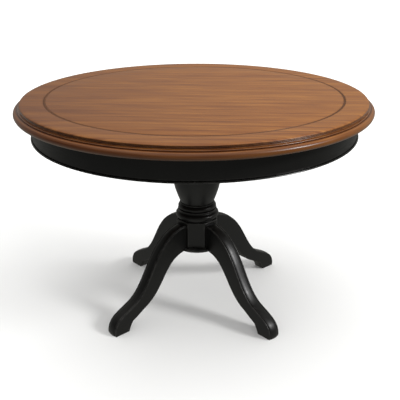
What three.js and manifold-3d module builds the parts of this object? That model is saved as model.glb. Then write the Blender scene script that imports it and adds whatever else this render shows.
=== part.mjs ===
// Miniature round pedestal dining table, 1:12 scale.
// Millimetres, +Z up. The origin is on the floor, on the axis of the column.
// The legs stand on the diagonals, so +X and +Y look out between two legs.
import * as THREE from 'three';
import { mergeVertices } from 'three/addons/utils/BufferGeometryUtils.js';
import Module from 'manifold-3d';

// ---- driving dimensions ---------------------------------------------------
const TABLE_HEIGHT = 63.5;
const TOP_RADIUS = 48.5;

// Round top: a thin board, with a thicker rounded moulding glued under its rim.
const BOARD_THICKNESS = 1.42;
const MOULDING_THICKNESS = 1.98;
const BOARD_FLAT_RADIUS = 45.7;
const BOARD_RIM_RADIUS = 46.85;
const FILLET_RADIUS = 47.32;
const FILLET_HEIGHT = 0.28;
const COVE_RADIUS = 46.5;
const ARRIS_HEIGHT = 0.4;
const NOSE_RADIUS = 1.12;
const NOSE_MIDDLE = 1;
const INLAY_RADIUS = 40.45;
const INLAY_WIDTH = 0.45;
const INLAY_DEPTH = 0.5;

// Apron: a bent hoop under the moulding, with a bead along its lower edge.
const APRON_RADIUS = 44.4;
const APRON_WALL = 2;
const APRON_HEIGHT = 5.6;
const BEAD_RADIUS = 44.8;
const BEAD_HEIGHT = 0.55;
const BEAD_QUIRK = 0.1;

// Framing hidden inside the apron.
const BEARER_WIDTH = 8;
const BEARER_DEPTH = 4;
const BEARER_HALF_LENGTH = 41.9;
const PLATE_RADIUS = 13;
const PLATE_THICKNESS = 4;
const GLUE_BLOCK_LENGTH = 7;
const GLUE_BLOCK_DEPTH = 4.4;
const GLUE_BLOCK_WIDTH = 3.7;
const GLUE_BLOCK_NOSE = 0.8;
const GLUE_BLOCK_GAP = 0.3;
const GLUE_BLOCK_COUNT = 8;

// Pedestal. Heights of the column's turnings are measured from the top of the hub.
const HUB_ACROSS_FLATS = 11.7;
const HUB_BOTTOM = 19;
const HUB_TOP = 26.95;
const CAP_RADIUS = 7.2;
const CAP_THICKNESS = 0.75;
const CAP_EASING = 0.1;
const LOWER_RING_RADIUS = 6.3;
const LOWER_RING_HEIGHT = 1.15;
const UPPER_RING_RADIUS = 5.56;
const UPPER_RING_HEIGHT = 3.65;
const NECK_RADIUS = 4.88;
const NECK_HEIGHT = 4.95;
const VASE_RADIUS = 7.2;
const VASE_HEIGHT = 15.05;
const VASE_TOP_RADIUS = 5.3;
const VASE_TOP_HEIGHT = 22.05;
const NECK_RING_HEIGHT = 22.8;
const FLANGE_RADIUS = 8.2;
const FLANGE_THICKNESS = 1.08;
const TOP_TENON_RADIUS = 3.5;
const LOW_TENON_RADIUS = 2;
const LOW_TENON_LENGTH = 4.2;

// Legs.
const LEG_COUNT = 4;
const LEG_WIDTH = 3.7;
const CREST_WIDTH = 2.5;
const CREST_HEIGHT = 0.3;
const LEG_GAP = 0.1;

// Fasteners.
const DOWEL_RADIUS = 0.6;
const DOWEL_REACH = 3;
const DOWEL_LEVELS = [20.6, 24.2];
const SCREW_HEAD_RADIUS = 1;
const SCREW_SHANK_RADIUS = 0.45;
const SCREW_CIRCLE_RADIUS = 10.5;
const SCREW_LENGTH = 6.4;
const CAP_SCREW_LENGTH = 3;
const CLEARANCE = 0.1;

// Facets round a full turn.
const RIM_FACETS = 72;
const COLUMN_FACETS = 32;
const PLATE_FACETS = 48;
const SMALL_FACETS = 12;

// ---- heights that follow from the sizes above -----------------------------
const BOARD_BOTTOM = TABLE_HEIGHT - BOARD_THICKNESS;
const MOULDING_BOTTOM = BOARD_BOTTOM - MOULDING_THICKNESS;
const APRON_BOTTOM = MOULDING_BOTTOM - APRON_HEIGHT;
const BEAD_BOTTOM = APRON_BOTTOM - BEAD_HEIGHT;
const APRON_INNER_RADIUS = APRON_RADIUS - APRON_WALL;
const BEARER_BOTTOM = BOARD_BOTTOM - BEARER_DEPTH;
const PLATE_BOTTOM = BEARER_BOTTOM - PLATE_THICKNESS;
const HUB_FACE = HUB_ACROSS_FLATS / 2;

// ---- finishes -------------------------------------------------------------
function finish(colour, roughness, metalness = 0) {
  return new THREE.MeshStandardMaterial({ color: colour, roughness, metalness });
}
const stainedWood = () => finish(0x96683f, 0.35);
const inlayWood = () => finish(0x4a2f20, 0.45);
const blackPaint = () => finish(0x1c1c1b, 0.35);
const bareWood = () => finish(0xb08d5f, 0.75);
const dowelWood = () => finish(0xc9a877, 0.7);
const brass = () => finish(0xb08a3e, 0.35, 1);

// ---- geometry helpers -----------------------------------------------------
const wasm = await Module();
wasm.setup();

function point(x, y) {
  return new THREE.Vector2(x, y);
}

// Points on an elliptical arc, angles in degrees, first and last included.
function arc(cx, cy, rx, ry, fromAngle, toAngle, steps) {
  const points = [];
  for (let i = 0; i <= steps; i += 1) {
    const angle = THREE.MathUtils.degToRad(fromAngle + ((toAngle - fromAngle) * i) / steps);
    points.push(point(cx + rx * Math.cos(angle), cy + ry * Math.sin(angle)));
  }
  return points;
}

// Points on a cubic curve through four control points, without its first point.
function curve(p0, p1, p2, p3, steps) {
  const bezier = new THREE.CubicBezierCurve(point(...p0), point(...p1), point(...p2), point(...p3));
  return bezier.getPoints(steps).slice(1);
}

// Shared corners, no collapsed triangles: the form that a boolean needs.
function weld(geometry) {
  const bare = geometry.clone();
  bare.deleteAttribute('normal');
  bare.deleteAttribute('uv');
  const merged = mergeVertices(bare, 1e-5);
  const old = merged.index.array;
  const kept = [];
  for (let i = 0; i < old.length; i += 3) {
    const [a, b, c] = [old[i], old[i + 1], old[i + 2]];
    if (a !== b && b !== c && c !== a) kept.push(a, b, c);
  }
  merged.setIndex(kept);
  return merged;
}

// Turned about +Z. The profile holds (radius, height) and runs up the outside.
function turned(profile, facets) {
  return weld(new THREE.LatheGeometry(profile, facets).rotateX(Math.PI / 2));
}

// A turned ring: the profile is closed on itself.
function turnedRing(profile, facets) {
  return turned([...profile, profile[0].clone()], facets);
}

// An outline in (x, z), given a width along y and centred on y = 0.
function sawn(outline, width) {
  const plank = new THREE.ExtrudeGeometry(new THREE.Shape(outline), {
    depth: width,
    bevelEnabled: false,
    curveSegments: 1,
  });
  return weld(plank.rotateX(Math.PI / 2).translate(0, width / 2, 0));
}

// A straight round bar along +Z that starts at z.
function bar(radius, z, length, facets = SMALL_FACETS) {
  const top = z + length;
  return turned([point(0, z), point(radius, z), point(radius, top), point(0, top)], facets);
}

function toSolid(geometry) {
  return new wasm.Manifold(new wasm.Mesh({
    numProp: 3,
    vertProperties: new Float32Array(geometry.attributes.position.array),
    triVerts: new Uint32Array(geometry.index.array),
  }));
}

function toGeometry(solid) {
  const mesh = solid.getMesh();
  const geometry = new THREE.BufferGeometry();
  geometry.setAttribute('position', new THREE.BufferAttribute(mesh.vertProperties, 3));
  geometry.setIndex(new THREE.BufferAttribute(mesh.triVerts, 1));
  return geometry;
}

function cut(body, tools) {
  let solid = toSolid(body);
  for (const tool of tools) solid = solid.subtract(toSolid(tool));
  return toGeometry(solid);
}

function join(first, second) {
  return toGeometry(toSolid(first).add(toSolid(second)));
}

function piece(name, geometry, material) {
  geometry.computeVertexNormals();
  const mesh = new THREE.Mesh(geometry, material);
  mesh.name = name;
  return mesh;
}

// ---- round top ------------------------------------------------------------
// Board edge, from the joint upwards: a small fillet, a cove and a soft arris.
function topBoard() {
  const grooveInner = INLAY_RADIUS - INLAY_WIDTH / 2 - CLEARANCE / 2;
  const grooveOuter = INLAY_RADIUS + INLAY_WIDTH / 2 + CLEARANCE / 2;
  const grooveFloor = TABLE_HEIGHT - INLAY_DEPTH;
  const filletTop = BOARD_BOTTOM + FILLET_HEIGHT;
  const filletEasing = 0.12;
  const arrisBottom = TABLE_HEIGHT - ARRIS_HEIGHT;
  return turned([
    point(0, BOARD_BOTTOM),
    point(FILLET_RADIUS - filletEasing, BOARD_BOTTOM),
    point(FILLET_RADIUS, BOARD_BOTTOM + filletEasing),
    point(FILLET_RADIUS, filletTop),
    ...curve([FILLET_RADIUS, filletTop], [COVE_RADIUS + 0.2, filletTop],
      [COVE_RADIUS, filletTop + 0.2], [COVE_RADIUS + 0.05, arrisBottom - 0.06], 4),
    point(BOARD_RIM_RADIUS, arrisBottom),
    ...curve([BOARD_RIM_RADIUS, arrisBottom], [BOARD_RIM_RADIUS, TABLE_HEIGHT - 0.12],
      [COVE_RADIUS, TABLE_HEIGHT], [BOARD_FLAT_RADIUS, TABLE_HEIGHT], 4),
    point(grooveOuter, TABLE_HEIGHT),
    point(grooveOuter, grooveFloor),
    point(grooveInner, grooveFloor),
    point(grooveInner, TABLE_HEIGHT),
    point(0, TABLE_HEIGHT),
  ], RIM_FACETS);
}

function rectangleRing(innerRadius, outerRadius, bottom, top) {
  return turnedRing([
    point(innerRadius, bottom),
    point(outerRadius, bottom),
    point(outerRadius, top),
    point(innerRadius, top),
  ], RIM_FACETS);
}

function inlayRing() {
  const half = INLAY_WIDTH / 2;
  return rectangleRing(INLAY_RADIUS - half, INLAY_RADIUS + half, TABLE_HEIGHT - INLAY_DEPTH, TABLE_HEIGHT);
}

// Rounded nosing: half a circle, a little flatter below its widest point.
function edgeMoulding() {
  const centreRadius = TOP_RADIUS - NOSE_RADIUS;
  const centreHeight = MOULDING_BOTTOM + NOSE_MIDDLE;
  const quirk = 0.06;
  const upperHalf = BOARD_BOTTOM - centreHeight - quirk;
  return turnedRing([
    point(APRON_INNER_RADIUS, MOULDING_BOTTOM),
    ...arc(centreRadius, centreHeight, NOSE_RADIUS, NOSE_MIDDLE, -90, 0, 4),
    ...arc(centreRadius, centreHeight, NOSE_RADIUS, upperHalf, 0, 90, 4).slice(1),
    point(centreRadius - 0.15, BOARD_BOTTOM),
    point(APRON_INNER_RADIUS, BOARD_BOTTOM),
  ], RIM_FACETS);
}

// ---- apron ----------------------------------------------------------------
function apronHoop() {
  return rectangleRing(APRON_INNER_RADIUS, APRON_RADIUS, APRON_BOTTOM, MOULDING_BOTTOM);
}

// Half-round bead with a narrow dark quirk above it.
function apronBead() {
  const round = BEAD_RADIUS - APRON_RADIUS + 0.2;
  const half = (BEAD_HEIGHT - BEAD_QUIRK) / 2;
  return turnedRing([
    point(APRON_INNER_RADIUS, BEAD_BOTTOM),
    ...arc(BEAD_RADIUS - round, BEAD_BOTTOM + half, round, half, -90, 90, 6),
    point(BEAD_RADIUS - round, APRON_BOTTOM),
    point(APRON_INNER_RADIUS, APRON_BOTTOM),
  ], RIM_FACETS);
}

// ---- framing under the top ------------------------------------------------
// Two bearers cross at the centre with a halved joint. The notch is below on
// one and above on the other.
function bearer(notchBelow) {
  const half = BEARER_HALF_LENGTH;
  const notch = BEARER_WIDTH / 2 + CLEARANCE;
  const middle = (BEARER_BOTTOM + BOARD_BOTTOM) / 2;
  const outline = notchBelow
    ? [
      point(-half, BEARER_BOTTOM),
      point(-notch, BEARER_BOTTOM),
      point(-notch, middle + CLEARANCE / 2),
      point(notch, middle + CLEARANCE / 2),
      point(notch, BEARER_BOTTOM),
      point(half, BEARER_BOTTOM),
      point(half, BOARD_BOTTOM),
      point(-half, BOARD_BOTTOM),
    ]
    : [
      point(-half, BEARER_BOTTOM),
      point(half, BEARER_BOTTOM),
      point(half, BOARD_BOTTOM),
      point(notch, BOARD_BOTTOM),
      point(notch, middle - CLEARANCE / 2),
      point(-notch, middle - CLEARANCE / 2),
      point(-notch, BOARD_BOTTOM),
      point(-half, BOARD_BOTTOM),
    ];
  const holes = [SCREW_CIRCLE_RADIUS, -SCREW_CIRCLE_RADIUS].map((x) => {
    const depth = SCREW_LENGTH - PLATE_THICKNESS + 0.5;
    return bar(SCREW_SHANK_RADIUS + CLEARANCE, BEARER_BOTTOM - 1, depth + 1).translate(x, 0, 0);
  });
  return cut(sawn(outline, BEARER_WIDTH), holes);
}

// A countersunk screw that stands point up, head flush with z = 0.
function screwProfile(length, spare) {
  const head = SCREW_HEAD_RADIUS + spare;
  const shank = SCREW_SHANK_RADIUS + spare;
  return [
    point(0, 0),
    point(head, 0),
    point(shank, head - shank),
    point(shank, length - shank + spare),
    point(0, length + spare),
  ];
}

function screw(length) {
  const slotDepth = 0.3;
  const slot = new THREE.BoxGeometry(SCREW_HEAD_RADIUS * 3, 0.3, slotDepth * 2);
  return cut(turned(screwProfile(length, 0), SMALL_FACETS), [weld(slot)]);
}

function screwHole(length) {
  const profile = screwProfile(length, CLEARANCE);
  const mouth = [point(0, -1), point(SCREW_HEAD_RADIUS + CLEARANCE, -1)];
  return turned([...mouth, ...profile.slice(1)], SMALL_FACETS);
}

// Turned plate between the bearers and the column.
function mountingPlate() {
  const chamfer = 0.6;
  const blank = turned([
    point(0, PLATE_BOTTOM),
    point(PLATE_RADIUS - chamfer, PLATE_BOTTOM),
    point(PLATE_RADIUS, PLATE_BOTTOM + chamfer),
    point(PLATE_RADIUS, BEARER_BOTTOM),
    point(0, BEARER_BOTTOM),
  ], PLATE_FACETS);
  const holes = [bar(TOP_TENON_RADIUS + CLEARANCE, PLATE_BOTTOM - 1, PLATE_THICKNESS + 2, COLUMN_FACETS)];
  for (let i = 0; i < 4; i += 1) {
    const hole = screwHole(SCREW_LENGTH).translate(SCREW_CIRCLE_RADIUS, 0, PLATE_BOTTOM);
    holes.push(hole.rotateZ((i * Math.PI) / 2));
  }
  return cut(blank, holes);
}

// Chamfered block glued into the corner between the board and the apron.
function glueBlock() {
  const outer = APRON_INNER_RADIUS - GLUE_BLOCK_GAP;
  const inner = outer - GLUE_BLOCK_WIDTH;
  const top = BOARD_BOTTOM - CLEARANCE / 2;
  const bottom = top - GLUE_BLOCK_DEPTH;
  return sawn([
    point(outer - GLUE_BLOCK_NOSE, bottom),
    point(outer, bottom),
    point(outer, top),
    point(inner, top),
    point(inner, top - GLUE_BLOCK_NOSE),
  ], GLUE_BLOCK_LENGTH);
}

// ---- pedestal -------------------------------------------------------------
// Column, from the hub upwards: tenon, base bead, two collar rings with a
// fillet between them, vase, neck ring, cove and flange, and the tenon that
// enters the mounting plate.
function column() {
  const collar = HUB_TOP;
  const lowerRing = collar + LOWER_RING_HEIGHT;
  const upperRing = collar + UPPER_RING_HEIGHT;
  const neck = collar + NECK_HEIGHT;
  const belly = collar + VASE_HEIGHT;
  const vaseTop = collar + VASE_TOP_HEIGHT;
  const neckRing = collar + NECK_RING_HEIGHT;
  const coveBottom = neckRing + 0.85;
  const flangeBottom = PLATE_BOTTOM - FLANGE_THICKNESS;
  const tenonTop = BEARER_BOTTOM - 0.4;
  const profile = [
    point(0, collar - LOW_TENON_LENGTH),
    point(LOW_TENON_RADIUS, collar - LOW_TENON_LENGTH),
    point(LOW_TENON_RADIUS, collar),
    ...arc(LOWER_RING_RADIUS - 0.35, collar + 0.37, 0.17, 0.37, -90, 90, 4),
    ...arc(LOWER_RING_RADIUS - 0.6, lowerRing, 0.6, 0.4, -60, 0, 2),
    ...arc(LOWER_RING_RADIUS - 1, lowerRing, 1, 1.4, 15, 80, 4),
    point(UPPER_RING_RADIUS - 0.1, upperRing - 1.05),
    point(UPPER_RING_RADIUS - 0.1, upperRing - 0.65),
    point(UPPER_RING_RADIUS - 0.3, upperRing - 0.55),
    ...arc(UPPER_RING_RADIUS - 0.6, upperRing, 0.6, 0.5, -60, 0, 2),
    ...arc(UPPER_RING_RADIUS - 0.7, upperRing, 0.7, 1.15, 20, 80, 3),
    point(NECK_RADIUS, neck),
    ...curve([NECK_RADIUS, neck], [5.9, neck + 2.7],
      [VASE_RADIUS, belly - 4], [VASE_RADIUS, belly], 8),
    ...curve([VASE_RADIUS, belly], [VASE_RADIUS, belly + 3.2],
      [5.5, vaseTop - 3], [VASE_TOP_RADIUS, vaseTop], 7),
    ...arc(VASE_TOP_RADIUS, neckRing, 0.75, 0.65, -80, 80, 5),
    point(VASE_TOP_RADIUS + 0.2, coveBottom),
    ...curve([VASE_TOP_RADIUS + 0.2, coveBottom], [5.6, flangeBottom - 1],
      [6.6, flangeBottom - 0.2], [FLANGE_RADIUS, flangeBottom], 5),
    point(FLANGE_RADIUS, PLATE_BOTTOM),
    point(TOP_TENON_RADIUS, PLATE_BOTTOM),
    point(TOP_TENON_RADIUS, tenonTop),
    point(0, tenonTop),
  ];
  return turned(profile, COLUMN_FACETS);
}

// Eight-sided block that the legs are dowelled to.
function legHub() {
  const corner = HUB_FACE / Math.cos(Math.PI / 8);
  const outline = [];
  for (let i = 0; i < 8; i += 1) {
    const angle = ((i + 0.5) * Math.PI) / 4;
    outline.push(point(corner * Math.cos(angle), corner * Math.sin(angle)));
  }
  const prism = new THREE.ExtrudeGeometry(new THREE.Shape(outline), {
    depth: HUB_TOP - HUB_BOTTOM,
    bevelEnabled: false,
  });
  const tools = [
    bar(LOW_TENON_RADIUS + CLEARANCE, HUB_TOP - LOW_TENON_LENGTH - CLEARANCE, LOW_TENON_LENGTH + 1, 24),
    screwHole(CAP_SCREW_LENGTH).translate(0, 0, HUB_BOTTOM - CAP_THICKNESS),
  ];
  for (let i = 0; i < LEG_COUNT; i += 1) {
    for (const level of DOWEL_LEVELS) {
      const hole = bar(DOWEL_RADIUS + CLEARANCE, HUB_FACE - DOWEL_REACH - CLEARANCE, DOWEL_REACH + 1);
      tools.push(hole.rotateY(Math.PI / 2).translate(0, 0, level).rotateZ(legAngle(i)));
    }
  }
  return cut(weld(prism.translate(0, 0, HUB_BOTTOM)), tools);
}

// Round plate under the hub. Four notches let the legs past, and its rim shows
// between them.
function hubCap() {
  const bottom = HUB_BOTTOM - CAP_THICKNESS;
  const disc = turned([
    point(0, bottom),
    point(CAP_RADIUS - CAP_EASING, bottom),
    point(CAP_RADIUS, bottom + CAP_EASING),
    point(CAP_RADIUS, HUB_BOTTOM - CAP_EASING),
    point(CAP_RADIUS - CAP_EASING, HUB_BOTTOM),
    point(0, HUB_BOTTOM),
  ], PLATE_FACETS);
  const tools = [screwHole(CAP_SCREW_LENGTH).translate(0, 0, bottom)];
  const notchLength = 4;
  for (let i = 0; i < LEG_COUNT; i += 1) {
    const notch = new THREE.BoxGeometry(notchLength, LEG_WIDTH + 2 * LEG_GAP, CAP_THICKNESS * 3);
    notch.translate(HUB_FACE + notchLength / 2, 0, HUB_BOTTOM).rotateZ(legAngle(i));
    tools.push(weld(notch));
  }
  return cut(disc, tools);
}

// ---- legs -----------------------------------------------------------------
function legAngle(index) {
  return Math.PI / 4 + (index * Math.PI) / 2;
}

// Upper line of a leg, from the hub, over the knee and out to the toe.
function legCrest() {
  const root = HUB_FACE + LEG_GAP;
  return [
    point(root, 26.2),
    ...curve([root, 26.2], [11, 25.6], [14.5, 22.9], [18.1, 16.5], 8),
    ...curve([18.1, 16.5], [20.2, 12.8], [22, 9.6], [24.7, 7.8], 6),
    ...curve([24.7, 7.8], [27.5, 6.2], [29.6, 5.5], [30.9, 4.2], 4),
    ...curve([30.9, 4.2], [31.9, 3.2], [32.4, 1.8], [32.3, 0.5], 4),
  ];
}

// Lower line, from the sole back up to the hub, with a small step at the heel.
function legUnderside() {
  const root = HUB_FACE + LEG_GAP;
  return [
    point(32.2, 0),
    point(27.4, 0),
    ...curve([27.4, 0], [27.1, 1], [26.6, 1.9], [25.9, 2.8], 3),
    ...curve([25.9, 2.8], [24.4, 3.5], [23.1, 4.4], [21.5, 5.3], 3),
    ...curve([21.5, 5.3], [18.7, 6.8], [17.3, 8.3], [14.8, 11.9], 5),
    ...curve([14.8, 11.9], [11.6, 16.8], [9.7, 17.9], [root, 18.4], 6),
  ];
}

// The same line moved inwards: its first point straight down, the rest along
// the line's own normal.
function lowered(line, distance) {
  return line.map((here, i) => {
    const before = line[Math.max(i - 1, 0)];
    const after = line[Math.min(i + 1, line.length - 1)];
    const along = after.clone().sub(before).normalize();
    const inwards = i === 0 ? point(0, -1) : point(along.y, -along.x);
    return here.clone().addScaledVector(inwards, distance);
  });
}

// Flat sides, with a raised crest along the middle of the upper edge.
function leg() {
  const crest = legCrest();
  const side = lowered(crest, CREST_HEIGHT);
  const body = sawn([...side, ...legUnderside()], LEG_WIDTH);
  const ridge = sawn([...crest, ...legUnderside()], CREST_WIDTH);
  const holes = DOWEL_LEVELS.map((level) => bar(DOWEL_RADIUS + CLEARANCE, HUB_FACE - 1, DOWEL_REACH + 1.1)
    .rotateY(Math.PI / 2)
    .translate(0, 0, level));
  return cut(join(body, ridge), holes);
}

function dowel() {
  return bar(DOWEL_RADIUS, HUB_FACE - DOWEL_REACH, DOWEL_REACH * 2).rotateY(Math.PI / 2);
}

// ---- assembly -------------------------------------------------------------
const table = new THREE.Group();

table.add(piece('top_board', topBoard(), stainedWood()));
table.add(piece('inlay_ring', inlayRing(), inlayWood()));
table.add(piece('edge_moulding', edgeMoulding(), stainedWood()));
table.add(piece('apron_hoop', apronHoop(), blackPaint()));
table.add(piece('apron_bead', apronBead(), blackPaint()));

table.add(piece('bearer_long', bearer(true), bareWood()));
const crossBearer = piece('bearer_cross', bearer(false), bareWood());
crossBearer.rotation.z = Math.PI / 2;
table.add(crossBearer);
table.add(piece('mounting_plate', mountingPlate(), bareWood()));

for (let i = 0; i < 4; i += 1) {
  const turn = new THREE.Group();
  turn.rotation.z = (i * Math.PI) / 2;
  const plateScrew = piece(`plate_screw_${i + 1}`, screw(SCREW_LENGTH), brass());
  plateScrew.position.set(SCREW_CIRCLE_RADIUS, 0, PLATE_BOTTOM);
  turn.add(plateScrew);
  table.add(turn);
}

for (let i = 0; i < GLUE_BLOCK_COUNT; i += 1) {
  const block = piece(`glue_block_${i + 1}`, glueBlock(), bareWood());
  block.rotation.z = ((i + 0.5) * 2 * Math.PI) / GLUE_BLOCK_COUNT;
  table.add(block);
}

table.add(piece('column', column(), blackPaint()));
table.add(piece('leg_hub', legHub(), blackPaint()));
table.add(piece('hub_cap', hubCap(), blackPaint()));
const capScrew = piece('cap_screw', screw(CAP_SCREW_LENGTH), brass());
capScrew.position.z = HUB_BOTTOM - CAP_THICKNESS;
table.add(capScrew);

for (let i = 0; i < LEG_COUNT; i += 1) {
  const corner = new THREE.Group();
  corner.rotation.z = legAngle(i);
  corner.add(piece(`leg_${i + 1}`, leg(), blackPaint()));
  DOWEL_LEVELS.forEach((level, j) => {
    const pin = piece(`leg_${i + 1}_dowel_${j + 1}`, dowel(), dowelWood());
    pin.position.z = level;
    corner.add(pin);
  });
  table.add(corner);
}

export default table;
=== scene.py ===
"""Miniature round pedestal dining table: fine meshes, materials, stage, lights and camera.

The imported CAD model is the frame. Lengths are in metres; MM turns a size in millimetres
into metres. The visible wooden pieces are rebuilt here as smooth meshes of the same size,
and the joinery under the top keeps its CAD nodes.
"""
import math

import bmesh
import bpy
from mathutils import Matrix, Vector

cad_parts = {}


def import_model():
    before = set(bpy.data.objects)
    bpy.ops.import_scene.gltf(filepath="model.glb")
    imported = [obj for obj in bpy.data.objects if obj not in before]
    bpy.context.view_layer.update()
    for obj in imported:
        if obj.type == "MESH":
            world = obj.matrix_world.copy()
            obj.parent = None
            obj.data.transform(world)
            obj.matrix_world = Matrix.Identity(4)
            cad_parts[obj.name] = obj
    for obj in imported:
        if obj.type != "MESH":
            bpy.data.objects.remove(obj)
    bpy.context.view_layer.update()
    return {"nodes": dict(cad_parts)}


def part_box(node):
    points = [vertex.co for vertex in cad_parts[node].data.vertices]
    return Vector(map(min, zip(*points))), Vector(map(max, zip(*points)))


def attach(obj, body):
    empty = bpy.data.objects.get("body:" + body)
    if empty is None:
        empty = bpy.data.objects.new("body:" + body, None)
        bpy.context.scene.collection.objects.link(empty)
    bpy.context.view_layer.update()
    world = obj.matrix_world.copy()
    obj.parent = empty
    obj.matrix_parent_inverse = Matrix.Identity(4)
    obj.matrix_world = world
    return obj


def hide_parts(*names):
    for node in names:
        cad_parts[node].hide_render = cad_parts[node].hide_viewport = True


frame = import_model()

MM = 0.001
ROOT = "root"
RIM_STEPS = 288
TURNED_STEPS = 160
SHARP_ANGLE = math.radians(32)

# Stain over the grain, from its dark streaks to its pale ones.
WOOD_STOPS = (
    (0.39, (0.180, 0.053, 0.009)),
    (0.46, (0.245, 0.081, 0.014)),
    (0.53, (0.293, 0.105, 0.018)),
    (0.61, (0.372, 0.145, 0.027)),
)
BARE_LIGHT, BARE_DARK = (0.56, 0.40, 0.23), (0.40, 0.26, 0.13)
DOWEL_LIGHT, DOWEL_DARK = (0.66, 0.49, 0.30), (0.52, 0.36, 0.20)

# Studio dome, as diffuse rays see it.
DOME_STRENGTH = 2.6
DOME_POWER = 1.5
BOUNCE = 0.12
# The room, as glossy rays see it.
FRONT_LOW_GLOSS = 0.24
FRONT_LIFT = 1.35
FRONT_HIGH_GLOSS = 0.05
REAR_GLOSS = 0.3
UNDER_GLOSS = 0.36
CEILING_GLOSS = 0.5
ROOM_COLOUR = (1.0, 1.0, 0.93, 1.0)
# What the camera sees behind everything.
BACKDROP = 1.4

FLOOR_HALF_SIZE = 8.0
CAMERA_PLACE = (0.1286, -1.8111, 1.0692)
CAMERA_PITCH, CAMERA_YAW, CAMERA_ROLL = 22.16, -1.19, 0.436
SENSOR_WIDTH, FOCAL_LENGTH, CAMERA_SHIFT = 36, 58.2, -0.068


# ---- sizes read from the frame ----------------------------------------------
def low(node):
    """Height of a node's lowest point."""
    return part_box(node)[0][2]


def high(node):
    """Height of a node's highest point."""
    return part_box(node)[1][2]


def radius(node):
    """Reach of a node along +X, which is its radius for a round piece."""
    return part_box(node)[1][0]


TOP = high("top_board")
BOARD_BOTTOM = low("top_board")
MOULDING_BOTTOM = low("edge_moulding")
APRON_BOTTOM = low("apron_hoop")
BEAD_BOTTOM = low("apron_bead")
PLATE_BOTTOM = low("mounting_plate")
HUB_TOP = high("leg_hub")
HUB_BOTTOM = low("leg_hub")
CAP_BOTTOM = low("hub_cap")
TOP_RADIUS = radius("edge_moulding")
FILLET_RADIUS = radius("top_board")
APRON_RADIUS = radius("apron_hoop")
BEAD_RADIUS = radius("apron_bead")
INLAY_OUTER = radius("inlay_ring")
CAP_RADIUS = radius("hub_cap")
HUB_FACE = radius("leg_hub")

# The legs' section and root, in millimetres.
LEG_HALF_WIDTH = 1.85
CREST_DROP = 0.2
BEAD_ROUND = 0.2
LEG_ROOT = HUB_FACE / MM + 0.02


# ---- outlines ----------------------------------------------------------------
def arc(cx, cy, rx, ry, start, end, steps):
    """Points on an elliptical arc, angles in degrees, both ends included."""
    points = []
    for i in range(steps + 1):
        angle = math.radians(start + (end - start) * i / steps)
        points.append((cx + rx * math.cos(angle), cy + ry * math.sin(angle)))
    return points


def bezier(p0, p1, p2, p3, steps):
    """Points on a cubic curve, both ends included."""
    points = []
    for i in range(steps + 1):
        t = i / steps
        weights = ((1 - t) ** 3, 3 * (1 - t) ** 2 * t, 3 * (1 - t) * t ** 2, t ** 3)
        corners = (p0, p1, p2, p3)
        points.append(tuple(sum(w * p[k] for w, p in zip(weights, corners)) for k in (0, 1)))
    return points


def softened(points, size, closed=False):
    """The same outline with each real corner rounded over by about size."""
    result = []
    count = len(points)
    for i, here in enumerate(points):
        at_end = i in (0, count - 1)
        if at_end and not closed:
            result.append(here)
            continue
        before, after = Vector(points[i - 1]), Vector(points[(i + 1) % count])
        corner = Vector(here)
        back, ahead = before - corner, after - corner
        turn = math.pi - back.angle(ahead, math.pi)
        if turn < SHARP_ANGLE:
            result.append(here)
            continue
        start = corner + back.normalized() * min(size, back.length * 0.4)
        end = corner + ahead.normalized() * min(size, ahead.length * 0.4)
        for j in range(4):
            t = j / 3
            spot = start * (1 - t) ** 2 + corner * (2 * t * (1 - t)) + end * t ** 2
            result.append(tuple(spot))
    return result


def in_metres(points):
    """The same outline, from millimetres to metres."""
    return [(x * MM, y * MM) for x, y in points]


# ---- mesh helpers --------------------------------------------------------------
def new_piece(name, mesh_data, material, node_names):
    """Turns a bmesh into a smooth-shaded piece that stands for CAD nodes.

    The piece is the outer shape only: sockets for tenons, dowels and screws are left to
    the CAD solids, so those pieces overlap it inside the joints.
    """
    bmesh.ops.remove_doubles(mesh_data, verts=mesh_data.verts, dist=1e-7)
    bmesh.ops.recalc_face_normals(mesh_data, faces=mesh_data.faces)
    for face in mesh_data.faces:
        face.smooth = True
    for edge in mesh_data.edges:
        edge.smooth = edge.is_manifold and edge.calc_face_angle(0) < SHARP_ANGLE
    mark_edge_wear_and_highlight(mesh_data)
    mesh = bpy.data.meshes.new(name)
    mesh_data.to_mesh(mesh)
    mesh_data.free()
    mesh.materials.append(material)
    piece = bpy.data.objects.new(name, mesh)
    bpy.context.scene.collection.objects.link(piece)
    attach(piece, ROOT)
    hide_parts(*node_names)
    return piece


def mark_edge_wear_and_highlight(mesh_data):
    """Stores how proud each vertex stands: 1 on rounded outer edges, 0 on flats and in grooves."""
    layer = mesh_data.verts.layers.float.new("edge_wear_and_highlight")
    for vertex in mesh_data.verts:
        joins = [edge for edge in vertex.link_edges if edge.is_manifold]
        bend = max((edge.calc_face_angle_signed(0) for edge in joins), default=0)
        vertex[layer] = min(max((math.degrees(bend) - 6) / 9, 0), 1)


def turned(profile, steps, closed=False):
    """A bmesh turned about +Z from (radius, height) points in metres."""
    data = bmesh.new()
    rings = []
    for r, z in profile:
        if r < 1e-9:
            rings.append([data.verts.new((0, 0, z))])
            continue
        ring = []
        for i in range(steps):
            angle = 2 * math.pi * i / steps
            ring.append(data.verts.new((r * math.cos(angle), r * math.sin(angle), z)))
        rings.append(ring)
    pairs = list(zip(rings, rings[1:]))
    if closed:
        pairs.append((rings[-1], rings[0]))
    for lower, upper in pairs:
        for i in range(steps):
            j = (i + 1) % steps
            corners = [lower[i % len(lower)], lower[j % len(lower)],
                       upper[j % len(upper)], upper[i % len(upper)]]
            corners = list(dict.fromkeys(corners))
            if len(corners) > 2:
                data.faces.new(corners)
    return data


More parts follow.
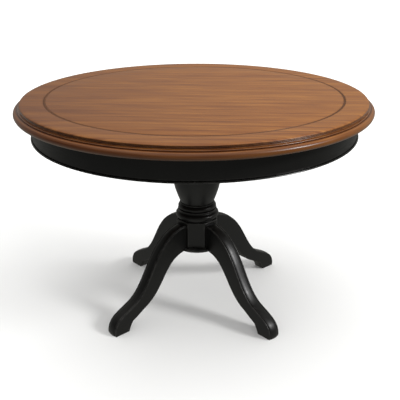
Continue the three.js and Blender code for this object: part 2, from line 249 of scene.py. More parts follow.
# ---- material helpers ------------------------------------------------------------
class Graph:
    """A small wrapper that keeps node wiring short."""

    def __init__(self, name):
        self.material = bpy.data.materials.new(name)
        self.material.use_nodes = True
        self.tree = self.material.node_tree
        self.shader = self.tree.nodes["Principled BSDF"]
        self.object_space = self.tree.nodes.new("ShaderNodeTexCoord").outputs["Object"]

    def put(self, socket, value):
        if hasattr(value, "is_output"):
            self.tree.links.new(value, socket)
        else:
            socket.default_value = value

    def math(self, operation, *values, clamp=False):
        node = self.tree.nodes.new("ShaderNodeMath")
        node.operation = operation
        node.use_clamp = clamp
        for socket, value in zip(node.inputs, values):
            self.put(socket, value)
        return node.outputs[0]

    def vector(self, operation, *values):
        node = self.tree.nodes.new("ShaderNodeVectorMath")
        node.operation = operation
        for socket, value in zip(node.inputs, values):
            self.put(socket, value)
        return node.outputs["Value" if operation == "LENGTH" else "Vector"]

    def combine(self, x, y, z):
        node = self.tree.nodes.new("ShaderNodeCombineXYZ")
        for socket, value in zip(node.inputs, (x, y, z)):
            self.put(socket, value)
        return node.outputs[0]

    def separate(self, vector):
        node = self.tree.nodes.new("ShaderNodeSeparateXYZ")
        self.put(node.inputs[0], vector)
        return node.outputs

    def noise(self, vector, scale, detail=4.0, roughness=0.55, distortion=0.0):
        node = self.tree.nodes.new("ShaderNodeTexNoise")
        self.put(node.inputs["Vector"], vector)
        for socket, value in (("Scale", scale), ("Detail", detail), ("Roughness", roughness),
                              ("Distortion", distortion)):
            node.inputs[socket].default_value = value
        return node.outputs["Fac"]

    def edge_wear_and_highlight(self):
        """The value stored by mark_edge_wear_and_highlight."""
        node = self.tree.nodes.new("ShaderNodeAttribute")
        node.attribute_name = "edge_wear_and_highlight"
        return node.outputs["Fac"]

    def span(self, value, from_low, from_high, to_low=0.0, to_high=1.0, smooth=False):
        node = self.tree.nodes.new("ShaderNodeMapRange")
        node.interpolation_type = "SMOOTHSTEP" if smooth else "LINEAR"
        for socket, number in zip(node.inputs, (value, from_low, from_high, to_low, to_high)):
            self.put(socket, number)
        return node.outputs[0]

    def ramp(self, value, stops):
        node = self.tree.nodes.new("ShaderNodeValToRGB")
        self.put(node.inputs[0], value)
        elements = node.color_ramp.elements
        while len(elements) < len(stops):
            elements.new(0.5)
        for element, (position, colour) in zip(elements, stops):
            element.position = position
            element.color = (*colour, 1)
        return node.outputs[0]

    def mix(self, factor, first, second, blend="MIX"):
        node = self.tree.nodes.new("ShaderNodeMix")
        node.data_type = "RGBA"
        node.blend_type = blend
        self.put(node.inputs["Factor"], factor)
        for socket, value in ((node.inputs[6], first), (node.inputs[7], second)):
            self.put(socket, (*value, 1) if isinstance(value, tuple) else value)
        return node.outputs[2]

    def bump(self, height, strength, distance):
        node = self.tree.nodes.new("ShaderNodeBump")
        node.inputs["Strength"].default_value = strength
        node.inputs["Distance"].default_value = distance
        self.put(node.inputs["Height"], height)
        self.put(self.shader.inputs["Normal"], node.outputs[0])

    def finish(self, colour, roughness, specular=0.5, coat=0.0, coat_roughness=0.2, metallic=0.0):
        self.put(self.shader.inputs["Base Color"], colour)
        self.put(self.shader.inputs["Roughness"], roughness)
        self.shader.inputs["Specular IOR Level"].default_value = specular
        self.shader.inputs["Coat Weight"].default_value = coat
        self.shader.inputs["Coat Roughness"].default_value = coat_roughness
        self.shader.inputs["Metallic"].default_value = metallic
        return self.material


def millimetres(graph):
    """Object coordinates in millimetres."""
    return graph.vector("MULTIPLY", graph.object_space, (1000, 1000, 1000))


def streaks(graph, place, along, across, detail=5.0, distortion=0.3):
    """Noise drawn out along X: along and across are its scales per millimetre."""
    stretched = graph.vector("MULTIPLY", place, (along, across, across))
    return graph.noise(stretched, 1.0, detail, 0.6, distortion)


def wood_colour(graph, place):
    """Brown stain over straight grain, as a colour socket and a height socket."""
    wide = streaks(graph, place, 0.014, 0.2, 3.0, 0.3)
    middle = streaks(graph, place, 0.04, 0.75, 3.0, 0.2)
    fine = streaks(graph, place, 0.08, 1.3, 5.0, 0.1)
    pores = streaks(graph, place, 0.35, 6.5, 2.0, 0.0)
    tone = graph.math("ADD", graph.math("MULTIPLY", wide, 0.14), graph.math("MULTIPLY", middle, 0.38))
    tone = graph.math("ADD", tone, graph.math("MULTIPLY", fine, 0.48))
    colour = graph.ramp(tone, WOOD_STOPS)
    pore_mask = graph.span(pores, 0.62, 0.74, smooth=True)
    pore_tint = graph.math("MULTIPLY", pore_mask, 0.22)
    colour = graph.mix(pore_tint, colour, (0.45, 0.36, 0.3), "MULTIPLY")
    height = graph.math("SUBTRACT", graph.math("MULTIPLY", fine, 0.5),
                        graph.math("MULTIPLY", pore_mask, 0.35))
    return colour, height, fine


def board_wood():
    """Field and border of the top, darker beside the inlaid line and at the rim, with painted shade in the
    rim's quirk and cove and a painted fall of light toward -X.
    """
    graph = Graph("stained_board")
    place = millimetres(graph)
    colour, height, fine = wood_colour(graph, place)
    x, y, z = graph.separate(place)
    reach = graph.vector("LENGTH", graph.combine(x, y, 0.0))
    line = INLAY_OUTER / MM - 0.22
    away = graph.math("ABSOLUTE", graph.math("SUBTRACT", reach, line))
    beside_line = graph.span(away, 0.25, 0.75, 0.22, 0.0, smooth=True)
    z_top = TOP / MM
    # Painted shade in the rim's recesses: the stain is darkened in the quirk under the arris and in the
    # cove. The rest of the rim below the arris is darker too.
    off_quirk = graph.math("ABSOLUTE", graph.math("SUBTRACT", z, z_top - 0.46))
    quirk = graph.span(off_quirk, 0.04, 0.14, 0.6, 0.0)
    off_hollow = graph.math("ABSOLUTE", graph.math("SUBTRACT", z, z_top - 0.86))
    hollow = graph.span(off_hollow, 0.05, 0.2, 0.6, 0.0)
    edge = graph.span(z, z_top - 0.5, z_top - 0.2, 0.45, 0.0)
    at_rim = graph.math("MAXIMUM", edge, graph.math("MAXIMUM", quirk, hollow))
    stain_and_painted_shade = graph.math("MAXIMUM", beside_line, at_rim)
    colour = graph.mix(stain_and_painted_shade, colour, (0.30, 0.22, 0.16), "MULTIPLY")
    # Fall of light painted into the stain: darker toward -X, whatever light it stands in.
    slant = graph.math("ADD", graph.math("MULTIPLY", x, 0.9), graph.math("MULTIPLY", y, 0.2))
    painted_light_fall = graph.span(slant, -45.0, 15.0, 1.0, 0.12)
    colour = graph.mix(painted_light_fall, colour, (0.55, 0.50, 0.45), "MULTIPLY")
    graph.bump(height, 0.25, 0.00003)
    rough = graph.span(fine, 0.3, 0.7, 0.34, 0.46)
    lacquer = graph.finish(colour, rough, specular=0.4, coat_roughness=0.24)
    graph.put(graph.shader.inputs["Coat Weight"], graph.span(z, z_top - 0.6, z_top - 0.3, 0.8, 0.2))
    return lacquer


def round_the_axis(graph, place):
    """Coordinates whose X runs round the table, so grain follows a bent piece."""
    x, y, z = graph.separate(place)
    reach = graph.vector("LENGTH", graph.combine(x, y, 0.0))
    angle = graph.math("ARCTAN2", y, x)
    return graph.combine(graph.math("MULTIPLY", angle, 40.0), graph.math("MULTIPLY", reach, 1.0), z)


def moulding_wood():
    """The nosing: the same stain with its grain running round the rim, darkened by painted shade over its
    face.
    """
    graph = Graph("stained_moulding")
    place = millimetres(graph)
    around = round_the_axis(graph, place)
    colour, height, fine = wood_colour(graph, around)
    x, _, z = graph.separate(place)
    base = MOULDING_BOTTOM / MM
    # Painted shade over the nosing's face: the stain is darkened most over its middle, less at its foot
    # and least along its top, for the shade on the rounded nose.
    lower = graph.span(z, base + 0.6, base + 1.1, 0.55, 0.88)
    joint = BOARD_BOTTOM / MM
    upper = graph.span(z, joint - 0.3, joint - 0.05, 0.88, 0.4)
    # Painted fall of light again: the painted shade is thinner toward +X.
    by_side = graph.span(x, 5.0, 32.0, 1.0, 0.45, smooth=True)
    shade = graph.math("MULTIPLY", graph.math("MINIMUM", lower, upper), by_side)
    in_quirk = graph.span(z, joint - 0.14, joint - 0.02, 0.0, 0.8, smooth=True)
    stain_and_painted_shade = graph.math("ADD", shade, in_quirk, clamp=True)
    colour = graph.mix(stain_and_painted_shade, colour, (0.25, 0.17, 0.13), "MULTIPLY")
    graph.bump(height, 0.12, 0.00003)
    rough = graph.span(fine, 0.3, 0.7, 0.28, 0.38)
    return graph.finish(colour, rough, specular=0.25, coat=0.5, coat_roughness=0.3)


def inlay_wood():
    """Dark stringing under the lacquer."""
    graph = Graph("dark_inlay")
    place = millimetres(graph)
    grain = streaks(graph, round_the_axis(graph, place), 0.3, 7.0)
    colour = graph.ramp(grain, ((0.3, (0.050, 0.019, 0.007)), (0.7, (0.100, 0.038, 0.015))))
    x, y, _ = graph.separate(place)
    reach = graph.vector("LENGTH", graph.combine(x, y, 0.0))
    off_middle = graph.math("ABSOLUTE", graph.math("SUBTRACT", reach, INLAY_OUTER / MM - 0.2))
    stained = graph.span(off_middle, 0.08, 0.2, 0.0, 0.6)
    colour = graph.mix(stained, colour, (0.20, 0.075, 0.018))
    graph.bump(grain, 0.2, 0.00002)
    rough = graph.span(grain, 0.3, 0.7, 0.4, 0.54)
    return graph.finish(colour, rough, specular=0.25)


def black_paint(name, stretch, specular, sheen, shaded_reflection_below=False):
    """Satin black paint: brush marks drawn out by stretch, and proud edges a little paler, partly paint
    rubbed thin and partly a painted highlight on beads and arrises.

    Faces that look down can be given less shine: painted shade on their reflections, standing in for the
    shaded floor beneath them.
    """
    graph = Graph(name)
    place = millimetres(graph)
    brushed = graph.noise(graph.vector("MULTIPLY", place, stretch), 1.0, 4.0, 0.6)
    cloud = graph.noise(place, 0.16, 3.0)
    grit = graph.noise(place, 5.5, 2.0, 0.6)
    colour = graph.ramp(cloud, ((0.35, (0.0030, 0.0030, 0.0027)), (0.7, (0.0052, 0.0051, 0.0046))))
    rubbed = graph.math("MULTIPLY", graph.span(brushed, 0.56, 0.72, smooth=True), 0.25)
    colour = graph.mix(rubbed, colour, (0.012, 0.011, 0.009))
    # Proud edges a little paler: partly paint rubbed thin, partly a painted highlight on beads too thin to
    # catch one.
    patchy = graph.span(graph.noise(place, 0.9, 3.0), 0.35, 0.65, 0.25, 1.0)
    wear_and_highlight = graph.math("MULTIPLY", graph.edge_wear_and_highlight(), patchy)
    colour = graph.mix(wear_and_highlight, colour, (0.042, 0.041, 0.038))
    height = graph.math("ADD", graph.math("MULTIPLY", brushed, 0.85), graph.math("MULTIPLY", grit, 0.15))
    graph.bump(height, 0.18, 0.00003)
    rough = graph.span(brushed, 0.3, 0.7, sheen - 0.05, sheen + 0.06)
    paint = graph.finish(colour, rough, specular=specular)
    if shaded_reflection_below:
        # Painted shade on reflections: faces that look down shine less, as the floor beneath them would be
        # in shade.
        lean = graph.separate(graph.tree.nodes.new("ShaderNodeNewGeometry").outputs["Normal"])[2]
        shine = graph.span(lean, -0.5, -0.1, 0.12 * specular, specular)
        graph.put(graph.shader.inputs["Specular IOR Level"], shine)
    return paint


def bare_wood(name, light, dark, along_x):
    """Unfinished wood with open grain along one axis."""
    graph = Graph(name)
    place = millimetres(graph)
    scale = (0.06, 1.3, 1.3) if along_x else (1.3, 0.06, 1.3)
    grain = graph.noise(graph.vector("MULTIPLY", place, scale), 1.0, 6.0, 0.65, 0.4)
    fibres = graph.noise(graph.vector("MULTIPLY", place, tuple(4 * s for s in scale)), 1.0, 3.0, 0.6)
    tone = graph.math("ADD", graph.math("MULTIPLY", grain, 0.7), graph.math("MULTIPLY", fibres, 0.3))
    colour = graph.ramp(tone, ((0.35, dark), (0.65, light)))
    graph.bump(tone, 0.4, 0.00006)
    rough = graph.span(fibres, 0.3, 0.7, 0.62, 0.8)
    return graph.finish(colour, rough, specular=0.3)


def brass():
    """Small screws, turned marks round the head."""
    graph = Graph("brass")
    place = millimetres(graph)
    marks = graph.noise(graph.vector("MULTIPLY", place, (9, 9, 2)), 1.0, 3.0)
    colour = graph.ramp(marks, ((0.3, (0.52, 0.35, 0.13)), (0.7, (0.74, 0.54, 0.24))))
    graph.bump(marks, 0.2, 0.00002)
    rough = graph.span(marks, 0.3, 0.7, 0.25, 0.42)
    return graph.finish(colour, rough, metallic=1.0)


# ---- round top -------------------------------------------------------------------
def rim_profile():
    """Edge of the board from its underside up: fillet, cove, small bead, quirk and soft arris."""
    base = BOARD_BOTTOM / MM
    top = TOP / MM
    fillet = FILLET_RADIUS / MM
    fillet_top = base + 0.28
    cove = fillet - 0.82
    rim = fillet - 0.47
    quirk = top - 0.42
    return (
        [(fillet - 0.3, base)]
        + arc(fillet - 0.14, base + 0.14, 0.14, 0.14, -90, 80, 10)
        + bezier((fillet - 0.26, fillet_top), (cove + 0.3, fillet_top), (cove + 0.02, fillet_top + 0.04),
                 (cove, fillet_top + 0.2), 10)
        + arc(cove + 0.1, quirk - 0.22, 0.13, 0.13, -80, 80, 8)
        + [(cove, quirk - 0.05), (cove + 0.01, quirk - 0.01), (rim - 0.05, quirk), (rim, quirk + 0.05)]
        + bezier((rim, quirk + 0.06), (rim, top - 0.12), (cove, top), (cove - 0.8, top), 12)
    )


def top_board(material):
    """The board, with its moulded rim and the groove that holds the inlaid line."""
    outer = INLAY_OUTER / MM + 0.05
    inner = INLAY_OUTER / MM - 0.5
    top = TOP / MM
    floor = low("inlay_ring") / MM
    profile = (
        [(0, BOARD_BOTTOM / MM)]
        + rim_profile()
        + [(outer + 0.1, top), (outer + 0.03, top - 0.01), (outer, top - 0.05), (outer, floor)]
        + [(inner, floor), (inner, top - 0.05), (inner - 0.03, top - 0.01), (inner - 0.1, top)]
        + [(r, top) for r in (34, 26, 18, 10, 4)]
        + [(0, top)]
    )
    return new_piece("top_board_fine", turned(in_metres(profile), RIM_STEPS), material,
                     ["top_board"])


def inlay_ring(material):
    """Thin inlaid line, a hair below the top so that its groove shows."""
    outer = INLAY_OUTER / MM
    inner = outer - 0.45
    floor = low("inlay_ring") / MM
    top = TOP / MM
    profile = [(inner, floor), (outer, floor), (outer, top - 0.05), (outer - 0.04, top - 0.015),
               (inner + 0.04, top - 0.015), (inner, top - 0.05)]
    return new_piece("inlay_ring_fine", turned(in_metres(profile), RIM_STEPS, closed=True), material,
                     ["inlay_ring"])


def edge_moulding(material):
    """Rounded nosing under the rim of the board."""
    nose = 1.12
    centre = TOP_RADIUS / MM - nose
    bottom = MOULDING_BOTTOM / MM
    joint = BOARD_BOTTOM / MM
    middle = bottom + 1
    inner = (APRON_RADIUS - 2 * MM) / MM
    profile = (
        [(inner, bottom)]
        + arc(centre, middle, nose, 1, -90, 0, 14)
        + arc(centre, middle, nose, joint - 0.04 - middle, 0, 90, 14)[1:]
        + [(centre - 0.16, joint - 0.05), (centre - 0.22, joint - 0.1), (centre - 0.3, joint)]
        + [(inner, joint)]
    )
    return new_piece("edge_moulding_fine", turned(in_metres(profile), RIM_STEPS, closed=True), material,
                     ["edge_moulding"])


# ---- apron ------------------------------------------------------------------------
def apron_hoop(material):
    """Bent hoop under the top, with its edges eased."""
    outer = APRON_RADIUS / MM
    inner = outer - 2
    bottom, top = APRON_BOTTOM / MM, MOULDING_BOTTOM / MM
    section = [(inner, bottom), (outer, bottom), (outer, bottom + 0.3), (outer, bottom + 0.6),
               (outer, top - 0.6), (outer, top - 0.3), (outer, top), (inner, top)]
    profile = softened(section, 0.08, closed=True)
    return new_piece("apron_hoop_fine", turned(in_metres(profile), RIM_STEPS, closed=True), material,
                     ["apron_hoop"])


def apron_bead(material):
    """Small sloped bead under the hoop, with a shallow quirk between the two."""
    outer = BEAD_RADIUS / MM
    hoop = APRON_RADIUS / MM
    inner = hoop - 2
    bottom = BEAD_BOTTOM / MM
    top = APRON_BOTTOM / MM
    profile = (
        [(inner, bottom), (outer - 0.12, bottom)]
        + arc(outer - 0.09, bottom + 0.09, 0.09, 0.09, -80, 10, 6)
        + bezier((outer - 0.01, bottom + 0.13), (outer - 0.05, bottom + 0.2), (outer - 0.1, bottom + 0.27),
                 (outer - 0.2, bottom + 0.34), 8)
        + arc(outer - 0.27, bottom + 0.25, 0.1, 0.1, 60, 120, 4)
        + [(hoop, bottom + 0.24), (hoop - 0.1, bottom + 0.2)]
        + [(hoop - 0.5, bottom + 0.2), (hoop - 0.5, top)]
        + [(inner, top)]
    )
    return new_piece("apron_bead_fine", turned(in_metres(profile), RIM_STEPS, closed=True), material,
                     ["apron_bead"])


# ---- pedestal -----------------------------------------------------------------------
def column(material):
    """Turned column from its lower tenon up: collar rings, vase, neck ring and flange."""
    collar = HUB_TOP / MM
    plate = PLATE_BOTTOM / MM
    tenon_top = high("column") / MM
    flange = radius("column") / MM
    profile = (
        [(0, low("column") / MM), (2, low("column") / MM), (2, collar)]
        + [(5.3, collar), (5.3, collar + 0.34), (5.36, collar + 0.4)]
        + bezier((5.7, collar + 0.44), (6.1, collar + 0.5),
                 (6.3, collar + 0.85), (6.3, collar + 1.3), 10)
        + bezier((6.3, collar + 1.3), (6.3, collar + 1.75),
                 (6.1, collar + 1.95), (5.7, collar + 2.1), 10)[1:]
        + bezier((5.62, collar + 2.14), (5.35, collar + 2.24),
                 (5.3, collar + 2.45), (5.4, collar + 2.62), 8)
        + arc(5.6, collar + 2.86, 0.1, 0.16, -80, 80, 8)
        + [(5.48, collar + 3.06), (5.2, collar + 3.2)]
        + bezier((5.3, collar + 3.24), (5.5, collar + 3.32),
                 (5.58, collar + 3.5), (5.58, collar + 3.72), 8)
        + bezier((5.58, collar + 3.72), (5.58, collar + 4.05),
                 (5.3, collar + 4.3), (5, collar + 4.5), 10)[1:]
        + [(4.86, collar + 4.58), (4.86, collar + 4.72)]
        + arc(4.98, collar + 4.9, 0.12, 0.14, -80, 80, 6)
        + [(4.84, collar + 5.08), (4.8, collar + 5.2)]
        + bezier((4.98, collar + 5.3), (6, collar + 7.8),
                 (7.2, collar + 11.05), (7.2, collar + 15.05), 28)
        + bezier((7.2, 42), (7.2, 45.2), (5.5, 46), (5.3, 49), 24)[1:]
        + arc(5.3, 49.75, 0.75, 0.65, -80, 80, 16)
        + [(5.5, 50.5)]
        + bezier((5.5, 50.6), (5.6, 52), (6.6, 52.8), (flange - 0.1, 53), 16)
        + [(flange, 53.08), (flange, plate), (3.5, plate), (3.5, tenon_top), (0, tenon_top)]
    )
    return new_piece("column_fine", turned(in_metres(profile), TURNED_STEPS), material,
                     ["column"])


def leg_hub(material):
    """Eight-sided block with its long edges eased."""
    data = bmesh.new()
    corner = HUB_FACE / math.cos(math.pi / 8)
    rings = []
    for z in (HUB_BOTTOM, HUB_TOP):
        ring = []
        for i in range(8):
            angle = (i + 0.5) * math.pi / 4
            ring.append(data.verts.new((corner * math.cos(angle), corner * math.sin(angle), z)))
        rings.append(ring)
    for i in range(8):
        j = (i + 1) % 8
        data.faces.new((rings[0][i], rings[0][j], rings[1][j], rings[1][i]))
    data.faces.new(list(reversed(rings[0])))
    data.faces.new(rings[1])
    bmesh.ops.bevel(data, geom=list(data.edges), offset=0.12 * MM, segments=3, profile=0.5, affect="EDGES")
    large = [face for face in data.faces if face.calc_area() > 10 * MM ** 2]
    for _ in range(2):
        bmesh.ops.inset_individual(data, faces=large, thickness=0.25 * MM)
    return new_piece("leg_hub_fine", data, material, ["leg_hub"])


def hub_cap(material):
    """Round plate under the hub, notched where the four legs pass it."""
    edge = CAP_RADIUS / MM
    side = LEG_HALF_WIDTH + 0.1
    outline = []
    for i in range(4):
        turn = math.pi / 4 + i * math.pi / 2
        reach = math.sqrt(edge ** 2 - side ** 2)
        opening = math.atan2(side, reach)
        for x, y in ((reach, -side), (HUB_FACE / MM, -side), (HUB_FACE / MM, side)):
            outline.append((x * math.cos(turn) - y * math.sin(turn),
                            x * math.sin(turn) + y * math.cos(turn)))
        span = math.pi / 2 - 2 * opening
        for k in range(25):
            angle = turn + opening + span * k / 25
            outline.append((edge * math.cos(angle), edge * math.sin(angle)))
    data = bmesh.new()
    rings = [[data.verts.new((x * MM, y * MM, z)) for x, y in outline] for z in (CAP_BOTTOM, HUB_BOTTOM)]
    count = len(outline)
    for i in range(count):
        j = (i + 1) % count
        data.faces.new((rings[0][i], rings[0][j], rings[1][j], rings[1][i]))
    data.faces.new(list(reversed(rings[0])))
    data.faces.new(rings[1])
    data.normal_update()
    rims = [e for e in data.edges if abs(e.verts[0].co.z - e.verts[1].co.z) < 1e-7]
    bmesh.ops.bevel(data, geom=rims, offset=0.09 * MM, segments=3, profile=0.5, affect="EDGES")
    return new_piece("hub_cap_fine", data, material, ["hub_cap"])


# ---- legs -----------------------------------------------------------------------------
def joined(*curves):
    """Curves joined end to end, without the repeated points."""
    points = list(curves[0])
    for part in curves[1:]:
        points += part[1:]
    return points


def leg_crest():
    """Upper line of a leg, hub to toe, as (reach, height) in millimetres."""
    return joined(
        bezier((LEG_ROOT, 26.2), (11, 25.6), (14.5, 22.9), (18.1, 16.5), 40),
        bezier((18.1, 16.5), (20.2, 12.8), (22, 9.6), (24.7, 7.8), 30),
        bezier((24.7, 7.8), (27.5, 6.2), (29.6, 5.5), (30.9, 4.2), 24),
        bezier((30.9, 4.2), (31.9, 3.2), (32.4, 1.8), (32.3, 0.5), 20),
        [(32.3, 0.5), (32.25, 0.25), (32.2, 0)],
    )


def leg_underside():
    """Lower line of a leg, hub to heel, with a small step where the foot starts."""
    return joined(
        bezier((LEG_ROOT, 18.4), (9.7, 17.9), (11.6, 16.8), (14.8, 11.9), 40),
        bezier((14.8, 11.9), (17.3, 8.3), (18.7, 6.8), (21.5, 5.3), 26),
        bezier((21.5, 5.3), (23.1, 4.4), (24.4, 3.5), (25.9, 2.8), 16),
        bezier((25.9, 2.8), (26.6, 1.9), (27.1, 1), (27.4, 0), 12),
    )


def resampled(points, count):
    """count points evenly spaced along a line."""
    lengths = [0]
    for a, b in zip(points, points[1:]):
        lengths.append(lengths[-1] + math.dist(a, b))
    result = []
    k = 0
    for i in range(count):
        goal = lengths[-1] * i / (count - 1)
        while k < len(lengths) - 2 and lengths[k + 1] < goal:
            k += 1
        span = lengths[k + 1] - lengths[k]
        t = (goal - lengths[k]) / span if span else 0
        a, b = points[k], points[k + 1]
        result.append((a[0] + (b[0] - a[0]) * t, a[1] + (b[1] - a[1]) * t))
    return result


def section_outline():
    """Half of a leg's section: (sideways, drop below the crest) from side to middle."""
    w = LEG_HALF_WIDTH
    r = BEAD_ROUND
    bead = arc(w - r, CREST_DROP + r, r, -r, 0, 170, 10)
    quirk = [(w - 2 * r - 0.01, CREST_DROP + 0.46), (w - 2 * r - 0.11, CREST_DROP + 0.46)]
    crown = [(w - 2 * r - 0.14, 0.3)]
    steps = 11
    crown_side = w - 2 * r - 0.2
    for i in range(steps + 1):
        side = crown_side * (1 - i / steps)
        crown.append((side, 0.17 * (side / crown_side) ** 3))
    return bead + quirk + crown


def leg(index, material):
    """Lofted between the upper and lower lines, then turned to its corner."""
    stations = 150
    upper = resampled(leg_crest(), stations)
    lower = resampled(leg_underside(), stations)
    half = section_outline()
    data = bmesh.new()
    rows = []
    for i in range(stations):
        c, u = Vector(upper[i]), Vector(lower[i])
        down = (u - c).normalized()
        deep = (u - c).length
        row = []
        edge = 0.14
        bottom = [(-LEG_HALF_WIDTH + edge, deep), (-LEG_HALF_WIDTH + edge * 0.3, deep - edge * 0.3),
                  (-LEG_HALF_WIDTH, deep - edge)]
        shoulder = CREST_DROP + BEAD_ROUND
        wall = deep - edge - shoulder
        drops = [shoulder + 0.2, shoulder + 0.45] + [shoulder + wall * k / 4 for k in (1, 2, 3)]
        drops += [deep - edge - 0.4, deep - edge - 0.18]
        side_points = [(-LEG_HALF_WIDTH, drop) for drop in reversed(drops)]
        left = bottom + side_points + [(-s, d) for s, d in half]
        right = [(-s, d) for s, d in reversed(left[:-1])]
        for side, drop in left + right:
            spot = c + down * drop
            row.append(data.verts.new((spot.x * MM, side * MM, max(spot.y, 0) * MM)))
        rows.append(row)
    for near, far in zip(rows, rows[1:]):
        count = len(near)
        for k in range(count):
            data.faces.new((near[k], near[(k + 1) % count], far[(k + 1) % count], far[k]))
    data.faces.new(rows[0])
    data.faces.new(list(reversed(rows[-1])))
    bmesh.ops.rotate(data, cent=(0, 0, 0), verts=data.verts,
                     matrix=Matrix.Rotation(math.pi / 4 + index * math.pi / 2, 3, "Z"))
    return new_piece(f"leg_{index + 1}_fine", data, material, [f"leg_{index + 1}"])


# ---- stage, lights and camera ---------------------------------------------------------
def floor():
    """Pale floor for the camera and for shadows; other rays pass it and see the world."""
    graph = Graph("pale_floor")
    place = millimetres(graph)
    speckle = graph.noise(place, 0.02, 3.0)
    colour = graph.ramp(speckle, ((0.3, (0.84, 0.84, 0.83)), (0.7, (0.86, 0.86, 0.85))))
    x, y, _ = graph.separate(place)
    # Painted shade: the floor is a little darker toward the front and the left, where the light falls off.
    forward = graph.math("ADD", y, graph.math("MULTIPLY", x, 0.35))
    near = graph.span(forward, -90.0, -25.0, 1.0, 0.0, smooth=True)
    colour = graph.mix(near, colour, (0.93, 0.93, 0.93), "MULTIPLY")
    graph.finish(colour, 0.9, specular=0.0)
    size = FLOOR_HALF_SIZE
    mesh = bpy.data.meshes.new("floor")
    corners = [(-size, -size, 0), (size, -size, 0), (size, size, 0), (-size, size, 0)]
    mesh.from_pydata(corners, [], [(0, 1, 2, 3)])
    mesh.materials.append(graph.material)
    ground = bpy.data.objects.new("floor", mesh)
    bpy.context.scene.collection.objects.link(ground)
    ground.visible_glossy = False
    ground.visible_diffuse = False


def sun_light(name, azimuth, elevation, strength, spread):
    """A distant soft source. Azimuth 0 is +X, 90 is +Y; spread is its width in the sky."""
    light = bpy.data.lights.new(name, "SUN")
    light.energy = strength
    light.angle = math.radians(spread)
    lamp = bpy.data.objects.new(name, light)
    a, e = math.radians(azimuth), math.radians(elevation)
    away = Vector((math.cos(a) * math.cos(e), math.sin(a) * math.cos(e), math.sin(e)))
    lamp.rotation_euler = away.to_track_quat("Z", "Y").to_euler()
    bpy.context.scene.collection.objects.link(lamp)


def world():
    """Diffuse rays see a soft dome, brightest overhead.

    Glossy rays see a room instead: dim in front and lifted where it faces the table, paler
    behind, with a bright ceiling and a glow from below that stands for the hidden floor.
    Camera rays see a plain backdrop.
    """
    sky = bpy.data.worlds.new("studio")
    bpy.context.scene.world = sky
    sky.use_nodes = True
    tree = sky.node_tree
    tree.nodes.clear()
    direction = tree.nodes.new("ShaderNodeTexCoord").outputs["Generated"]
    split = tree.nodes.new("ShaderNodeSeparateXYZ")
    tree.links.new(direction, split.inputs[0])

    def math_node(operation, *values):
        node = tree.nodes.new("ShaderNodeMath")
        node.operation = operation
        for socket, value in zip(node.inputs, values):
            if hasattr(value, "is_output"):
                tree.links.new(value, socket)
            else:
                socket.default_value = value
        return node.outputs[0]

    def background(strength):
        node = tree.nodes.new("ShaderNodeBackground")
        if hasattr(strength, "is_output"):
            tree.links.new(strength, node.inputs["Strength"])
        else:
            node.inputs["Strength"].default_value = strength
        return node.outputs[0]

    def choose(ray, no, yes):
        mix = tree.nodes.new("ShaderNodeMixShader")
        tree.links.new(ray, mix.inputs[0])
        tree.links.new(no, mix.inputs[1])
        tree.links.new(yes, mix.inputs[2])
        return mix.outputs[0]

    path = tree.nodes.new("ShaderNodeLightPath")
    height = math_node("MAXIMUM", split.outputs["Z"], 0.0)
    overhead = math_node("MULTIPLY", math_node("POWER", height, DOME_POWER), DOME_STRENGTH)
    dome = background(math_node("ADD", overhead, BOUNCE))

    def smooth_step(value, *span):
        node = tree.nodes.new("ShaderNodeMapRange")
        node.interpolation_type = "SMOOTHSTEP"
        tree.links.new(value, node.inputs[0])
        for socket, number in zip(list(node.inputs)[1:5], span):
            socket.default_value = number
        return node.outputs[0]

    above = smooth_step(split.outputs["Z"], -0.2, 0.1, FRONT_LOW_GLOSS, FRONT_HIGH_GLOSS)
    below = smooth_step(split.outputs["Z"], -0.8, -0.5, UNDER_GLOSS - FRONT_LOW_GLOSS, 0.0)
    facing = smooth_step(split.outputs["Y"], -0.9, -0.3, FRONT_LIFT, 1.0)
    front = math_node("MULTIPLY", math_node("ADD", above, below), facing)
    rearward = smooth_step(split.outputs["Y"], -0.2, 0.9, 0.0, 1.0)
    level = smooth_step(split.outputs["Z"], -0.7, -0.45, 0.0, 1.0)
    rearward = math_node("MULTIPLY", rearward, level)
    extra = math_node("MULTIPLY", rearward, math_node("SUBTRACT", REAR_GLOSS, front))
    sides = math_node("ADD", front, extra)
    ceiling = smooth_step(split.outputs["Z"], 0.6, 0.98, 0.0, CEILING_GLOSS)
    room = background(math_node("ADD", sides, ceiling))
    room.node.inputs["Color"].default_value = ROOM_COLOUR
    lit = choose(path.outputs["Is Glossy Ray"], dome, room)
    out = tree.nodes.new("ShaderNodeOutputWorld")
    tree.links.new(choose(path.outputs["Is Camera Ray"], lit, background(BACKDROP)), out.inputs[0])


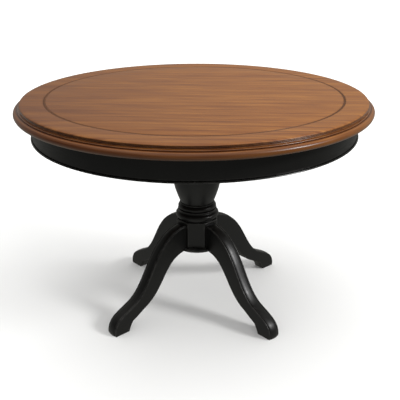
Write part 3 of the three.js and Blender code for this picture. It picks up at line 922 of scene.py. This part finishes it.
def camera():
    """Standing a little right of the front, looking down at about 22 degrees."""
    top_width = 2 * TOP_RADIUS
    place = Vector(CAMERA_PLACE) * top_width
    pitch, yaw, roll = (math.radians(a) for a in (CAMERA_PITCH, CAMERA_YAW, CAMERA_ROLL))
    ahead = Vector((math.sin(yaw) * math.cos(pitch), math.cos(yaw) * math.cos(pitch),
                    -math.sin(pitch)))
    level = Vector((math.cos(yaw), -math.sin(yaw), 0))
    up = level.cross(ahead)
    right = level * math.cos(roll) + up * math.sin(roll)
    top = up * math.cos(roll) - level * math.sin(roll)
    lens = bpy.data.cameras.new("camera")
    lens.sensor_width = SENSOR_WIDTH
    lens.lens = FOCAL_LENGTH
    lens.shift_x = CAMERA_SHIFT
    lens.clip_start = 0.005
    lens.clip_end = 50
    view = bpy.data.objects.new("camera", lens)
    view.matrix_world = Matrix((
        (right.x, top.x, -ahead.x, place.x),
        (right.y, top.y, -ahead.y, place.y),
        (right.z, top.z, -ahead.z, place.z),
        (0, 0, 0, 1),
    ))
    bpy.context.scene.collection.objects.link(view)
    bpy.context.scene.camera = view


def set_material(node, material):
    """Gives a CAD node that stays a better material."""
    item = frame["nodes"][node]
    item.data.materials.clear()
    item.data.materials.append(material)


# ---- build ---------------------------------------------------------------------------
board_material = board_wood()
moulding_material = moulding_wood()
top_board(board_material)
edge_moulding(moulding_material)
inlay_ring(inlay_wood())

round_paint = black_paint("black_paint_turned", (0.5, 0.5, 2.4), 0.5, 0.36)
flat_paint = black_paint("black_paint_sawn", (0.8, 0.8, 0.8), 0.5, 0.36, shaded_reflection_below=True)
hoop_paint = black_paint("black_paint_apron", (0.3, 0.3, 2.4), 0.3, 0.42)
apron_hoop(hoop_paint)
apron_bead(black_paint("black_paint_bead", (0.3, 0.3, 2.4), 0.6, 0.28))
column(round_paint)
hub_cap(round_paint)
leg_hub(flat_paint)
for corner_index in range(4):
    leg(corner_index, flat_paint)

hidden_wood = bare_wood("bare_wood_x", BARE_LIGHT, BARE_DARK, True)
cross_wood = bare_wood("bare_wood_y", BARE_LIGHT, BARE_DARK, False)
pin_wood = bare_wood("dowel_wood", DOWEL_LIGHT, DOWEL_DARK, True)
screw_metal = brass()
for node_name in frame["nodes"]:
    if node_name.startswith("glue_block") or node_name in ("bearer_long", "mounting_plate"):
        set_material(node_name, hidden_wood)
    elif node_name == "bearer_cross":
        set_material(node_name, cross_wood)
    elif "dowel" in node_name:
        set_material(node_name, pin_wood)
    elif "screw" in node_name:
        set_material(node_name, screw_metal)

floor()
world()
sun_light("key_light", azimuth=-15, elevation=33, strength=1.7, spread=14)
camera()
bpy.context.scene.view_settings.view_transform = "Standard"
